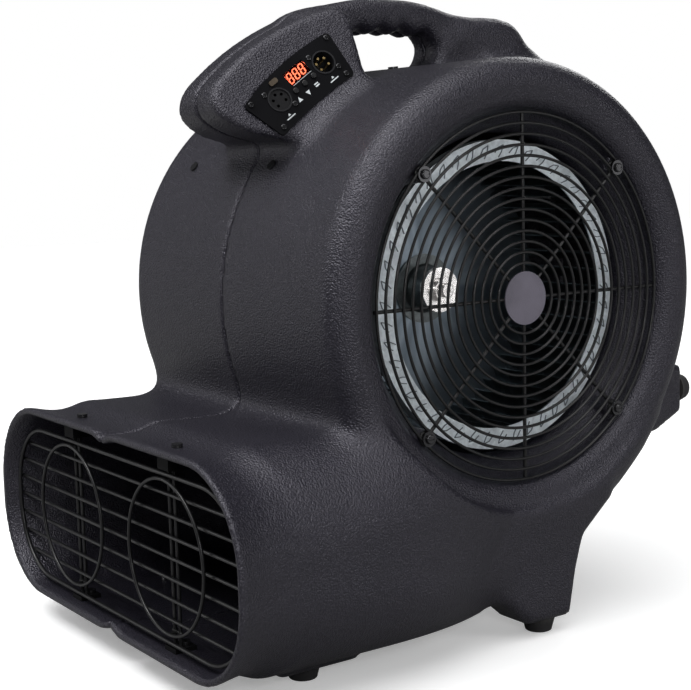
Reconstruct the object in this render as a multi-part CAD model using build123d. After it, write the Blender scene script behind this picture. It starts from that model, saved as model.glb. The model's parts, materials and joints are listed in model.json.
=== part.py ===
from build123d import *
import math
import os

# ---------------------------------------------------------------------------
# Air mover: a two-half hollow housing with a volute, a double-inlet wheel
# with its motor inside the left half, wire guards and a control box.
# All parts are drawn about the wheel axis (X), with -Y towards the mouth, and
# are then moved so that the floor is Z = 0 and the plan is centred.
# ---------------------------------------------------------------------------

AXIS_Z = 298.0            # height of the wheel axis above the floor
MOUTH_Y = -323.0          # front edge of the mouth
BACK_Y = 237.0            # ends of the rear pegs
AXIS_Y = -(MOUTH_Y + BACK_Y) / 2
WALL = 5.0                # wall of the moulded halves
SEAM_GAP = 0.15           # each half stops this far from the middle plane
FIT = 0.05                # radial clearance of running fits

# housing
DRUM_R = 202.0
DRUM_HALF = 173.6         # drum half-width, to the crest of the inlet rims
RIM_R = 22.0              # radius of the rounded inlet rims
RIM_CENTRE_R = 179.0
VOLUTE_HALF = 168.0
VOLUTE_EDGE = 34.0        # rounding of the volute's lower edges
DUCT_HALF = 224.0
DUCT_TOP = -95.0
DUCT_BOTTOM = -270.0
DUCT_CORNER = 78.0
THROAT_R = 140.0
THROAT_OUT = 128.0        # X where the straight throat starts
THROAT_IN = 112.0         # X where it ends

# inlet guards
GUARD_X = 163.7
GUARD_R = 156.0
RING_PITCH = 9.0
RING_COUNT = 15
WIRE_R = 1.3
SPOKE_R = 1.6
SPOKE_BACK = 2.2          # the rings are welded on the front of the spokes
CLIP_R = 151.5            # radius of the four guard screws
EYE_R = 5.4               # eye at the end of each diagonal spoke
EYE_BACK = 3.0            # the eyes lie just behind the rings
BRACKET_R = 141.0         # radius of the four motor bracket screws
GUARD_PLATE_R = 22.7

# outlet guard
OUT_Y = -309.2
OUT_HALF = 209.5
OUT_TOP = -119.0
OUT_BOTTOM = -256.0
OUT_CIRCLE_X = 88.2
OUT_CIRCLE_R = 62.5
OUT_MID = -185.5
OUT_CORNER = 62.0
OUT_FRAME_R = 1.9
OUT_WIRE_R = 1.5
OUT_LEVELS = 7

# wheel
WHEEL_R = 134.0
WHEEL_INNER = 115.7
WHEEL_HALF = 132.0
DISC_X = 22.0
DISC_T = 2.0
BLADES = 48
BLADE_T = 0.9
RING_T = 1.5
SHAFT_R = 6.35

# motor
MOTOR_R = 68.0
MOTOR_FRONT = 6.0
MOTOR_REAR = -118.0

MOTOR_BOLT_R = 60.0       # radius of the four through bolts
CAN_WALL = 4.0
BRACKET_X = -155.0        # outer face of the motor bracket
BRACKET_T = 3.0

# feet
FOOT_R = 15.0
FOOT_TIP_R = 11.6
FOOT_H = 13.0
FRONT_FOOT = (120.6, -207.0)
REAR_FOOT = (151.7, 22.7)
LOW_PEG = (123.0, -107.0)   # X, Z
BOSS_INSET = 6.0          # the bosses' centres lie this far inside their pegs
BOSS_HALF = 22.0
HIGH_PEG = (45.0, 125.0)    # X, Z
PEG_FACE_Y = BACK_Y - FOOT_H

# control panel: centre, slope along the drum and lean towards the middle
PANEL_X = 46.0
PANEL_Y = -145.3
PANEL_Z = 183.2
PANEL_TURN = 35.0
PANEL_LEAN = 25.0
PANEL_T = 2.0
SOCKET_A = (-24.0, 1.2)
SOCKET_B = (30.8, 1.2)
SOCKET_R = 10.8
SOCKET_BORE = 9.4
SOCKET_DEPTH = 22.0
BUTTON_V = -2.0
BUTTON_U = (-7.4, 3.6, 14.6)
BUTTON_R = 2.6
PANEL_SCREWS = [(48.8, 15.5), (39.6, -18.6), (-47.0, 13.3), (-38.8, -18.2)]
SOCKET_SCREWS = [(-7.9, 10.9), (7.9, -10.9)]
LATCH = (-22.0, -13.2, 13.5, 18.0)     # u0, u1, v0, v1
WINDOW = (-6.2, 16.6, 3.2, 15.2)
DIGIT_WIDE = 4.2
DIGIT_TALL = 8.6
DIGIT_LEAN = math.tan(math.radians(11))
DIGIT_STROKE = 0.34       # half-width of a segment
SCREW_R = 1.5             # shank of the small panel screws
SCREW_HEAD_R = 2.5
SCREW_HEAD_H = 1.3

os.makedirs("parts", exist_ok=True)
PLACE = Location((0, AXIS_Y, AXIS_Z))
nodes = {}


def keep(name, *shapes):
    """Move shapes into the row frame and store them as one node."""
    solids = []
    for shape in shapes:
        solids += shape.solids()
    moved = [PLACE * solid for solid in solids]
    nodes[name] = moved[0] if len(moved) == 1 else Compound(children=moved)


def rod(p, q, r):
    """Round bar from p to q."""
    a = Vector(*p)
    b = Vector(*q)
    way = b - a
    plane = Plane(origin=a, z_dir=way)
    return plane * Cylinder(r, way.length, align=(Align.CENTER, Align.CENTER, Align.MIN))


def tube_x(r_in, r_out, x0, x1):
    """Ring about the wheel axis from x0 to x1."""
    ring = rod((x0, 0, 0), (x1, 0, 0), r_out)
    if r_in > 0:
        ring -= rod((x0 - 1, 0, 0), (x1 + 1, 0, 0), r_in)
    return ring


def box(x0, x1, y0, y1, z0, z1):
    return Pos((x0 + x1) / 2, (y0 + y1) / 2, (z0 + z1) / 2) * Box(x1 - x0, y1 - y0, z1 - z0)


def side_face(points):
    """Face in the YZ plane from (y, z) points."""
    line = Polyline(*[(0, y, z) for y, z in points], close=True)
    return make_face(line)


def slab(face, half, corner=0.0, edge=0.0):
    """Extrude a YZ face evenly to both sides, rounding its corners and then its long edges."""
    if corner > 0:
        face = fillet(face.vertices(), corner)
    body = extrude(face, amount=half, dir=(1, 0, 0), both=True)
    if edge > 0:
        flat = [e for e in body.edges() if abs(abs(e.center().X) - half) < 0.01]
        body = fillet(flat, edge)
    return body


def turned(points):
    """Revolve (x, r) points about the wheel axis."""
    face = make_face(Polyline(*[(x, 0, r) for x, r in points], close=True))
    return revolve(face, Axis.X, 360)


def mirrored(shape):
    return mirror(shape, about=Plane.YZ)


def ring_points(r, count, start=0.0):
    step = 2 * math.pi / count
    first = math.radians(start)
    return [(r * math.cos(first + i * step), r * math.sin(first + i * step)) for i in range(count)]


# --------------------------------------------------------------- housing
def drum(inset):
    """Round drum whose ends roll into the inlet rims."""
    r = DRUM_R - inset
    half = DRUM_HALF - inset
    profile = [(-half, 0), (-half, r), (half, r), (half, 0)]
    body = turned(profile)
    ends = [e for e in body.edges() if abs(abs(e.center().X) - half) < 0.01]
    return fillet(ends, RIM_R - inset)


def volute(inset):
    """Widening passage under the drum, between the drum and the floor of the duct."""
    r = DRUM_R - inset
    top = DUCT_TOP - inset
    low = DUCT_BOTTOM + inset
    meet = math.radians(-35)
    rear = (r * math.cos(meet), r * math.sin(meet))
    front = MOUTH_Y + 60
    belly = (80 - inset * 0.4, -213 + inset)
    outline = [
        Line((0, front, top - 9), (0, -140, top - 12)),
        Line((0, -140, top - 12), (0, rear[0], rear[1])),
        ThreePointArc((0, rear[0], rear[1]), (0, belly[0], belly[1]), (0, -50, low + 4)),
        Line((0, -50, low + 4), (0, front, low + 1)),
        Line((0, front, low + 1), (0, front, top - 9)),
    ]
    body = extrude(make_face(Wire(outline)), amount=VOLUTE_HALF - inset, dir=(1, 0, 0), both=True)
    section = Plane(origin=(0, 400, 0), x_dir=(1, 0, 0), z_dir=(0, -1, 0)) * RectangleRounded(
        2 * (VOLUTE_HALF - inset), -2 * low, VOLUTE_EDGE - inset)
    return body & extrude(section, amount=900)


def duct(inset, ahead=0.0):
    """The flared duct: rounded sections lofted from the mouth back into the drum."""
    stations = [
        (MOUTH_Y - ahead, DUCT_HALF, DUCT_TOP, DUCT_BOTTOM, DUCT_CORNER),
        (MOUTH_Y + 23, DUCT_HALF - 9, DUCT_TOP - 5, DUCT_BOTTOM + 1, DUCT_CORNER - 3),
        (MOUTH_Y + 120, 206.0, DUCT_TOP - 12, DUCT_BOTTOM + 3, 62.0),
        (-50.0, DRUM_HALF - 3, DUCT_TOP - 22, DUCT_BOTTOM + 6, 48.0),
    ]
    sections = []
    for y, half, top, low, corner in stations:
        plane = Plane(origin=(0, y, (top + low) / 2), x_dir=(1, 0, 0), z_dir=(0, 1, 0))
        height = top - low - 2 * inset
        radius = min(corner - inset, height / 2 - 0.5)
        sections.append(plane * RectangleRounded(2 * (half - inset), height, radius))
    return loft(sections)


def pod(inset):
    """Control box: a hood that overhangs the front of the drum."""
    outline = [
        (-120, 130), (-176 - 0.2 * inset, 139), (-206, 149), (-221, 167), (-215, 186), (-186, 208),
        (-158, 226), (-124, 242), (-95, 250), (-84, 240), (-84, 190), (-84, 150),
    ]
    face = side_face(outline)
    if inset > 0:
        face = offset(face, -inset, kind=Kind.INTERSECTION)
    body = extrude(face, amount=62 - inset, dir=(1, 0, 0), both=True)
    for side in (1, -1):
        cutter = panel_plane(side, -inset) * Pos(0, 0, 50) * Box(400, 400, 100)
        body -= cutter
    return body


def panel_plane(side=1, lift=0.0):
    """Plane of a control panel; x runs up along the drum and z points outwards."""
    turn = math.radians(PANEL_TURN)
    lean = math.radians(PANEL_LEAN)
    along = Vector(0, math.cos(turn), math.sin(turn))
    up = Vector(-math.sin(lean) * side, -math.sin(turn) * math.cos(lean), math.cos(turn) * math.cos(lean))
    out = Vector(math.cos(lean) * side, -math.sin(turn) * math.sin(lean), math.cos(turn) * math.sin(lean))
    origin = Vector(PANEL_X * side, PANEL_Y, PANEL_Z) + out * lift
    return Plane(origin=origin, x_dir=along if side > 0 else -along, z_dir=out)


def handle():
    """Carrying arch over the drum, from the control box to the rear spine."""
    path = Spline([(0, -112, 237), (0, -61, 244), (0, -4, 246), (0, 42, 240), (0, 85, 233), (0, 108, 229)])
    pen = Plane(origin=path @ 0, x_dir=(1, 0, 0), z_dir=path % 0) * RectangleRounded(42, 31, 12)
    return sweep(pen, path=path)


def spine():
    """Rear root of the handle, broad at the back, with the upper pegs' flat."""
    outline = [
        (12, 190), (32, 229), (60, 240), (99, 245), (112, 240), (125, 232.5), (140, 222), (152, 212),
        (206, 184), (PEG_FACE_Y, 164), (PEG_FACE_Y, 100), (150, 100), (100, 150),
    ]
    narrow = slab(side_face(outline), 24, 9, 8)
    rear = [
        (60, 190), (80, 208), (108, 209), (146, 200), (185, 185), (212, 169), (PEG_FACE_Y, 156),
        (PEG_FACE_Y, 100), (150, 100),
    ]
    broad = slab(side_face(rear), 64, 11, 10)
    return narrow + broad


def leg_rear(side):
    outline = [
        (-60, -228), (-36, -260), (-2, -285), (44, -285), (54, -244), (62, -214), (92, -184), (90, -160),
        (0, -160),
    ]
    body = extrude(side_face(outline), amount=48, dir=(1, 0, 0))
    return Pos(124 if side > 0 else -172, 0, 0) * body


def pad_front(side):
    x = FRONT_FOOT[0] * side
    return box(x - 24, x + 24, FRONT_FOOT[1] - 34, FRONT_FOOT[1] + 38, -285, -255)


def boss_rear(side):
    x = (LOW_PEG[0] - BOSS_INSET) * side
    outline = [(150, -60), (196, -72), (PEG_FACE_Y, -84), (PEG_FACE_Y, -128), (190, -144), (120, -150)]
    body = extrude(side_face(outline), amount=BOSS_HALF, dir=(1, 0, 0), both=True)
    return Pos(x, 0, 0) * body


def inlet_void(wall, side):
    """Space in front of one inlet: throat, flared mouth and the inner half of the rim."""
    steps = 8
    arc = []
    for i in range(steps + 1):
        t = math.radians(90.0 * i / steps)
        x = DRUM_HALF - RIM_R + (RIM_R - wall) * math.sin(t)
        r = RIM_CENTRE_R - (RIM_R - wall) * math.cos(t)
        arc.append((x, r))
    points = [(THROAT_IN, 0), (THROAT_IN, THROAT_R + wall), (THROAT_OUT - 0.4 * wall, THROAT_R + wall)]
    points += arc
    points += [(DRUM_HALF + 30, RIM_CENTRE_R), (DRUM_HALF + 30, 0)]
    body = turned(points)
    return body if side > 0 else mirrored(body)


BODY_SCREWS = [(-105.0, 144.7), (30.0, 144.7), (7.0, 95.0)]     # X, angle about the axis
SEAM_BOLT_SPOTS = [(186.0, 25.0), (186.0, 100.0), (186.0, 155.0), (186.0, 335.0), (222.0, 290.0)]


def seam_spot(r, angle):
    a = math.radians(angle)
    return r * math.cos(a), r * math.sin(a)


def build_housing():
    drum_outer = drum(0) + volute(0)
    drum_inner = drum(WALL) + volute(WALL)
    duct_outer = duct(0)
    duct_inner = duct(WALL, ahead=1.0)
    outer = drum_outer + duct_outer
    compartment = pod(WALL) - drum_outer
    outer += pod(0)
    outer += handle()
    outer += spine()
    for side in (1, -1):
        outer += leg_rear(side)
        outer += pad_front(side)
        outer += boss_rear(side)
    inner = drum_inner + duct_inner
    spine_hole = slab(side_face([(88, 196), (108, 203), (145, 194), (183, 179), (206, 163), (206, 116),
                                 (172, 114), (124, 160)]), 48) - drum_outer
    shell = outer
    for side in (1, -1):
        shell -= inlet_void(0, side)
        inner -= inlet_void(WALL, side)
    shell -= inner
    shell -= compartment
    shell -= spine_hole
    for side in (1, -1):
        for y, z in ring_points(CLIP_R, 4, 45):
            post = rod((side * 140, y, z), (side * (GUARD_X - EYE_BACK - SPOKE_R - 0.1), y, z), 7.5)
            shell += post
            shell -= rod((side * 150, y, z), (side * 170, y, z), 2.0)
    for y, z in ring_points(BRACKET_R, 4, 0):
        shell += rod((-136, y, z), (-146, y, z), 8)
        shell -= rod((-139, y, z), (-147, y, z), 2.5)
    for r, angle in SEAM_BOLT_SPOTS:
        y, z = seam_spot(r, angle)
        far = seam_spot(r + 14, angle)
        shell += rod((-16, y, z), (16, y, z), 8)
        web = rod((0, y, z), (0, far[0], far[1]), 6)
        shell += web
        shell -= rod((-20, y, z), (20, y, z), 2.75)
    return shell


# --------------------------------------------------------------- guards
def inlet_guard(side):
    """Rings welded on eight spokes; every other spoke ends in an eye for a screw."""
    back = -SPOKE_BACK
    wires = []
    for i in range(RING_COUNT):
        r = GUARD_R - i * RING_PITCH
        wires.append(Plane.YZ * Torus(r, WIRE_R))
    for i, (y, z) in enumerate(ring_points(1.0, 8, 0)):
        far = CLIP_R - EYE_R if i % 2 else GUARD_R + 1.0
        wires.append(rod((back, 12 * y, 12 * z), (back, far * y, far * z), SPOKE_R))
        if i % 2:
            eye = Plane(origin=(-EYE_BACK, CLIP_R * y, CLIP_R * z), z_dir=(1, 0, 0))
            wires.append(eye * Torus(EYE_R, SPOKE_R))
    hub = rod((back - 1, 0, 0), (back + 1, 0, 0), 14)
    body = Pos(GUARD_X, 0, 0) * hub.fuse(*wires)
    return body if side > 0 else mirrored(body)


def guard_plate(side):
    x = GUARD_X - SPOKE_BACK + SPOKE_R + 0.1
    plate = rod((x, 0, 0), (x + 1.2, 0, 0), GUARD_PLATE_R)
    return plate if side > 0 else mirrored(plate)


def guard_fixings(side):
    washers = []
    screws = []
    for y, z in ring_points(CLIP_R, 4, 45):
        x = GUARD_X + WIRE_R + 0.05
        washer = rod((x, y, z), (x + 1.2, y, z), 6.5) - rod((x - 1, y, z), (x + 2, y, z), 2.6)
        screw = rod((x + 1.2, y, z), (x + 3.6, y, z), 4.0)
        screw = fillet(screw.edges().group_by(Axis.X)[-1], 1.2)
        screw += rod((152, y, z), (x + 1.3, y, z), 1.9)
        slot = box(x + 2.8, x + 4, y - 3, y + 3, z - 0.5, z + 0.5)
        screws.append(screw - slot)
        washers.append(washer)
    if side < 0:
        washers = [mirrored(w) for w in washers]
        screws = [mirrored(s) for s in screws]
    return washers, screws


def outlet_guard():
    """Rounded frame, level wires behind it, and two circles in front carried by two pairs of posts."""
    mid = (OUT_TOP + OUT_BOTTOM) / 2
    high = OUT_TOP - OUT_BOTTOM
    frame_path = Plane(origin=(0, OUT_Y, mid), x_dir=(1, 0, 0), z_dir=(0, -1, 0)) * RectangleRounded(
        2 * OUT_HALF, high, OUT_CORNER)
    wire = frame_path.face().outer_wire()
    pen = Plane(origin=wire @ 0, z_dir=wire % 0) * Circle(OUT_FRAME_R)
    pieces = [sweep(pen, path=wire)]
    level_y = OUT_Y + OUT_FRAME_R + OUT_WIRE_R + 0.05
    for i in range(OUT_LEVELS):
        z = OUT_BOTTOM + high * (i + 1) / (OUT_LEVELS + 1)
        over = max(0.0, abs(z - mid) - (high / 2 - OUT_CORNER))
        half = OUT_HALF - OUT_CORNER + math.sqrt(OUT_CORNER ** 2 - over ** 2)
        pieces.append(rod((-half, level_y, z), (half, level_y, z), OUT_WIRE_R))
    post_y = level_y + 2 * OUT_WIRE_R + 0.05
    ring_y = OUT_Y - 2.4
    for x in (-OUT_CIRCLE_X, OUT_CIRCLE_X):
        wires = [Plane(origin=(x, ring_y, OUT_MID), z_dir=(0, 1, 0)) * Torus(OUT_CIRCLE_R, OUT_WIRE_R)]
        for z in (OUT_MID + OUT_CIRCLE_R, OUT_MID - OUT_CIRCLE_R):
            wires.append(rod((x, ring_y + 0.3, z), (x, post_y + 0.3, z), OUT_WIRE_R - 0.4))
            wires.append(rod((x - 8, post_y, z), (x + 8, post_y, z), OUT_WIRE_R - 0.2))
        for dx in (-4.5, 4.5):
            post = rod((x + dx, post_y, OUT_BOTTOM - 3), (x + dx, post_y, OUT_TOP + 3), OUT_WIRE_R)
            wires.append(post)
        pieces.append(wires[0].fuse(*wires[1:]))
    return pieces


def outlet_clips():
    blocks = []
    for x in (-OUT_CIRCLE_X, OUT_CIRCLE_X):
        blocks.append(box(x - 9, x + 9, OUT_Y - 1, OUT_Y + 18, OUT_TOP + 3, -103.5))
        blocks.append(box(x - 9, x + 9, OUT_Y - 1, OUT_Y + 18, -265.5, OUT_BOTTOM - 3))
    return blocks


def outlet_screws():
    y = OUT_Y + 12.5
    screws = []
    for x in (-OUT_CIRCLE_X, OUT_CIRCLE_X):
        screws.append(rod((x, y, -112), (x, y, -99.5), 2.0) + rod((x, y, -99.5), (x, y, -96.5), 4.5))
        floor = OUT_BOTTOM - 3
        screws.append(rod((x, y, -268), (x, y, floor), 2.0) + rod((x, y, floor), (x, y, floor + 2.8), 4.5))
    return screws


# --------------------------------------------------------------- wheel
def wheel_ring(side):
    ring = tube_x(WHEEL_INNER, WHEEL_R, WHEEL_HALF - RING_T, WHEEL_HALF)
    ring += tube_x(WHEEL_R - 0.8, WHEEL_R, WHEEL_HALF - 10, WHEEL_HALF)
    return ring if side > 0 else mirrored(ring)


def blade_face():
    """One forward-curved blade section at angle zero, in the YZ plane."""
    def at(r, degrees):
        a = math.radians(degrees)
        return (0, r * math.cos(a), r * math.sin(a))
    half = 0.22
    inner = 116.4
    outer = 132.9
    mid = 125.5
    lead = -5.2
    edge_a = ThreePointArc(at(inner, -half), at(mid, -half - 1.1), at(outer, -half + lead))
    edge_b = ThreePointArc(at(outer, half + lead), at(mid, half - 1.1), at(inner, half))
    ends = [Line(at(outer, -half + lead), at(outer, half + lead)), Line(at(inner, half), at(inner, -half))]
    return make_face(Wire([edge_a, ends[0], edge_b, ends[1]]))


def blades(x0, x1):
    first = extrude(Pos(x0, 0, 0) * blade_face(), amount=x1 - x0, dir=(1, 0, 0))
    return [Rot(X=i * 360 / BLADES) * first for i in range(BLADES)]


def hub_parts():
    x = DISC_X + DISC_T / 2
    cup = turned([(x, 9.6), (x, 32), (x + 1.6, 32), (x + 1.6, 23), (x + 5, 21.5), (x + 23, 21.5),
                  (x + 23, 9.6),
                  (x + 21, 9.6), (x + 21, 19.5), (x + 4, 19.5), (x + 1.8, 18), (x + 1.8, 9.6)])
    flange = tube_x(9.6, 20.5, x + 23, x + 26)
    bush = tube_x(SHAFT_R, 9.4, 12, x + 26)
    collar = tube_x(SHAFT_R, 10.5, x + 26, x + 32)
    collar -= rod((x + 29, 0, 0), (x + 29, 0, 12), 2.0)
    socket = extrude(Plane(origin=(x + 34, 0, 0), z_dir=(1, 0, 0)) * RegularPolygon(3.2, 6), amount=5)
    bolt = fillet(rod((x + 32, 0, 0), (x + 37, 0, 0), 6.6).edges().group_by(Axis.X)[-1], 0.8) - socket
    return cup, flange, bush, collar, bolt


# --------------------------------------------------------------- motor
def bell():
    return turned([(-12, 68), (-4, 68), (6, 26), (6, 9), (3, 9), (3, 16.05), (-9, 16.05), (-9, 20), (-3, 24),
                   (-9, 62), (-12, 62)])


def to_rear(shape):
    """Mirror a front motor part to the rear of the can."""
    return mirror(shape, about=Plane(origin=((MOTOR_FRONT + MOTOR_REAR) / 2, 0, 0), z_dir=(1, 0, 0)))


def build_motor():
    bolts = []
    spacers = []
    back = BRACKET_X + BRACKET_T
    for y, z in ring_points(MOTOR_BOLT_R, 4, 45):
        bolt = rod((BRACKET_X - 3, y, z), (4, y, z), 2.5) + rod((1, y, z), (5, y, z), 4.5)
        bolts.append(bolt)
        spacers.append(rod((back, y, z), (-108, y, z), 6) - rod((back - 1, y, z), (-100, y, z), 2.5))
    front = bell()
    rear = to_rear(bell())
    for bolt, spacer in zip(bolts, spacers):
        front -= bolt
        rear -= bolt
        rear -= spacer
    bearing = tube_x(SHAFT_R + FIT, 16.0, -9, 3)
    stator = tube_x(40.0, 57.4, -88, -24)
    for y, z in ring_points(43, 24):
        stator -= rod((-90, y, z), (-20, y, z), 2.2)
    winding = tube_x(42.0, 57.0, -23.6, -14.5)
    keep("motor_can", tube_x(MOTOR_R - CAN_WALL, MOTOR_R, -100, -12))
    keep("motor_bells", front, rear)
    keep("motor_stator", stator)
    keep("motor_windings", winding, to_rear(winding))
    keep("motor_bearings", bearing, to_rear(bearing))
    keep("motor_bolts", *bolts)
    keep("motor_spacers", *spacers)
    plate = tube_x(30, MOTOR_R, BRACKET_X, back)
    for turn in (0, 90, 180, 270):
        plate += Rot(X=turn) * box(BRACKET_X, back, -9, 9, 50, BRACKET_R)
    isolators = []
    screws = []
    for y, z in ring_points(BRACKET_R, 4):
        plate += rod((BRACKET_X, y, z), (back, y, z), 9)
        isolators.append(rod((back, y, z), (-146, y, z), 7.5) - rod((back - 1, y, z), (-145, y, z), 2.4))
        head = rod((BRACKET_X - 3, y, z), (BRACKET_X, y, z), 5)
        screws.append(rod((BRACKET_X, y, z), (-140, y, z), 2.4) + head)
    for screw in screws + bolts:
        plate -= screw
    keep("motor_bracket", plate)
    keep("bracket_isolators", *isolators)
    keep("bracket_screws", *screws)


# --------------------------------------------------------------- feet
def foot():
    """Rubber foot standing on z = 0 with its seat at the top."""
    body = Cone(FOOT_TIP_R, FOOT_R, FOOT_H, align=(Align.CENTER, Align.CENTER, Align.MIN))
    body = fillet(body.edges().group_by(Axis.Z)[0], 1.5)
    body -= Cylinder(4.8, 6, align=(Align.CENTER, Align.CENTER, Align.MIN))
    body -= Cylinder(2.2, FOOT_H, align=(Align.CENTER, Align.CENTER, Align.MIN))
    return body


def foot_screw():
    screw = Pos(0, 0, 6) * Cylinder(2.1, 24, align=(Align.CENTER, Align.CENTER, Align.MIN))
    return screw + Pos(0, 0, 3) * Cylinder(4.4, 3, align=(Align.CENTER, Align.CENTER, Align.MIN))


def foot_places():
    """Each pair of feet or rear pegs, by node name."""
    pairs = {"feet_front": [], "feet_rear": [], "pegs_low": [], "pegs_high": []}
    for side in (1, -1):
        pairs["feet_front"].append(Location((FRONT_FOOT[0] * side, FRONT_FOOT[1], -AXIS_Z)))
        pairs["feet_rear"].append(Location((REAR_FOOT[0] * side, REAR_FOOT[1], -AXIS_Z)))
        for name, (x, z) in (("pegs_low", LOW_PEG), ("pegs_high", HIGH_PEG)):
            back = Plane(origin=(x * side, BACK_Y, z), z_dir=(0, -1, 0))
            pairs[name].append(back.location)
    return pairs


# --------------------------------------------------------------- control box fittings
def on_panel(side, u, v, w, shape):
    return panel_plane(side).location * Pos(u, v, w) * shape


def panel_box(side, u0, u1, v0, v1, w0, w1):
    return on_panel(side, (u0 + u1) / 2, (v0 + v1) / 2, (w0 + w1) / 2, Box(u1 - u0, v1 - v0, w1 - w0))


def panel_rod(side, u, v, w0, w1, r):
    return on_panel(side, u, v, (w0 + w1) / 2, Cylinder(r, w1 - w0))


def panel_screw(side, u, v, w0):
    """Small screw with a domed head and a cross recess."""
    head = Cylinder(SCREW_HEAD_R, SCREW_HEAD_H)
    head = fillet(head.edges().group_by(Axis.Z)[-1], 0.9)
    for long, wide in ((3.0, 0.7), (0.7, 3.0)):
        head -= Pos(0, 0, SCREW_HEAD_H / 2) * Box(long, wide, 1.0)
    head = on_panel(side, u, v, PANEL_T + SCREW_HEAD_H / 2, head)
    return head + panel_rod(side, u, v, w0, PANEL_T, SCREW_R)


def latch_bar(gap, w0, w1):
    """Release tab of the first socket, with rounded ends."""
    u0, u1, v0, v1 = LATCH
    face = RectangleRounded(u1 - u0 + 2 * gap, v1 - v0 + 2 * gap, 1.8 + gap)
    return on_panel(1, (u0 + u1) / 2, (v0 + v1) / 2, w0, extrude(face, amount=w1 - w0))


def build_panel():
    rim = [
        Line((54.0, 18.5), (45.5, -24.0)),
        ThreePointArc((45.5, -24.0), (3.0, -21.2), (-44.5, -24.0)),
        Line((-44.5, -24.0), (-53.0, 16.0)),
        ThreePointArc((-53.0, 16.0), (0.5, 22.7), (54.0, 18.5)),
    ]
    face = make_face(Wire(rim))
    plate = extrude(fillet(face.vertices(), 4.0), amount=PANEL_T)
    plate = panel_plane().location * plate
    flange_w = (-1.8, 0.0)
    for u, v in (SOCKET_A, SOCKET_B):
        plate -= panel_rod(1, u, v, -1, 4, SOCKET_R)
    plate -= latch_bar(FIT, -1, 4)
    plate -= panel_box(1, *WINDOW, -1, 4)
    for u in BUTTON_U:
        plate -= panel_rod(1, u, BUTTON_V, -1, 4, BUTTON_R + FIT)
    screws = []
    for u, v in PANEL_SCREWS:
        plate -= panel_rod(1, u, v, -1, 4, SCREW_R)
        screws.append(panel_screw(1, u, v, -8))
    socket_screws = []
    for centre in (SOCKET_A, SOCKET_B):
        for du, dv in SOCKET_SCREWS:
            u = centre[0] + du
            v = centre[1] + dv
            plate -= panel_rod(1, u, v, -1, 4, SCREW_R)
            socket_screws.append(panel_screw(1, u, v, -4.5))

    def socket_shell(centre):
        u, v = centre
        body = panel_rod(1, u, v, -SOCKET_DEPTH, 2.6, SOCKET_R - 0.1)
        body += panel_box(1, u - 12, u + 12, v - 14, v + 14, *flange_w)
        body -= panel_rod(1, u, v, -SOCKET_DEPTH - 1, 4, SOCKET_BORE)
        for du, dv in SOCKET_SCREWS:
            body -= panel_rod(1, u + du, v + dv, -3, 4, SCREW_R)
        return body

    shell_a = socket_shell(SOCKET_A) - latch_bar(FIT, -8, 4)
    insert_a = panel_rod(1, *SOCKET_A, -20, 1.4, SOCKET_BORE - FIT)
    insert_b = panel_rod(1, *SOCKET_B, -20, -13, SOCKET_BORE - FIT)
    pins = []
    for angle in (30, 90, 150, 215, 325):
        du = 5.6 * math.cos(math.radians(angle))
        dv = 5.6 * math.sin(math.radians(angle))
        insert_a -= panel_rod(1, SOCKET_A[0] - du, SOCKET_A[1] + dv, -11, 3, 1.35)
        pin = panel_rod(1, SOCKET_B[0] + du, SOCKET_B[1] + dv, -18, -1, 1.15)
        insert_b -= pin
        pins.append(pin)
    keep("panel_plate", plate)
    keep("socket_screws", *socket_screws)
    keep("socket_a_shell", shell_a)
    keep("socket_a_insert", insert_a)
    keep("socket_a_latch", latch_bar(0, -4.0, 3.4))
    keep("socket_b_shell", socket_shell(SOCKET_B))
    keep("socket_b_insert", insert_b)
    keep("socket_b_pins", *pins)
    return screws


def segment(cu, cv, u0, v0, u1, v1):
    """One bar of a leaning digit whose centre is (cu, cv)."""
    half = DIGIT_STROKE
    if v0 == v1:
        corners = [(u0, v0 - half), (u1, v0 - half), (u1, v0 + half), (u0, v0 + half)]
    else:
        corners = [(u0 - half, v0), (u0 + half, v0), (u0 + half, v1), (u0 - half, v1)]
    leaning = [(cu + u + v * DIGIT_LEAN, cv + v) for u, v in corners]
    face = make_face(Polyline(*leaning, close=True))
    return on_panel(1, 0, 0, -1.0, extrude(face, amount=1.0))


def build_display():
    u0, u1, v0, v1 = WINDOW
    keep("display_window", panel_box(1, u0, u1, v0, v1, 0.6, 2.3))
    keep("display_module", panel_box(1, u0 - 0.8, u1 + 0.8, v0 - 0.5, v1 + 0.5, -8.0, -1.0))
    bars = []
    pitch = (u1 - u0) / 3.2
    tall = DIGIT_TALL / 2
    wide = DIGIT_WIDE / 2
    gap = DIGIT_STROKE + 0.2
    for i in range(3):
        cu = (u0 + u1) / 2 + pitch * (i - 1)
        cv = (v0 + v1) / 2
        for dv in (-tall, 0, tall):
            bars.append(segment(cu, cv, -wide + gap, dv, wide - gap, dv))
        for du in (-wide, wide):
            bars.append(segment(cu, cv, du, -tall + gap, du, -gap))
            bars.append(segment(cu, cv, du, gap, du, tall - gap))
    keep("display_digits", *bars)
    keep("display_board", panel_box(1, -10.8, 16.8, -11.0, 22, -9.6, -8.0))
    for i, u in enumerate(BUTTON_U):
        button = panel_rod(1, u, BUTTON_V, -5.4, 3.8, BUTTON_R)
        button = fillet(button.edges().sort_by(lambda e: e.center().X)[-1], 0.8)
        keep("button_" + str(i + 1), button)


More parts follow.
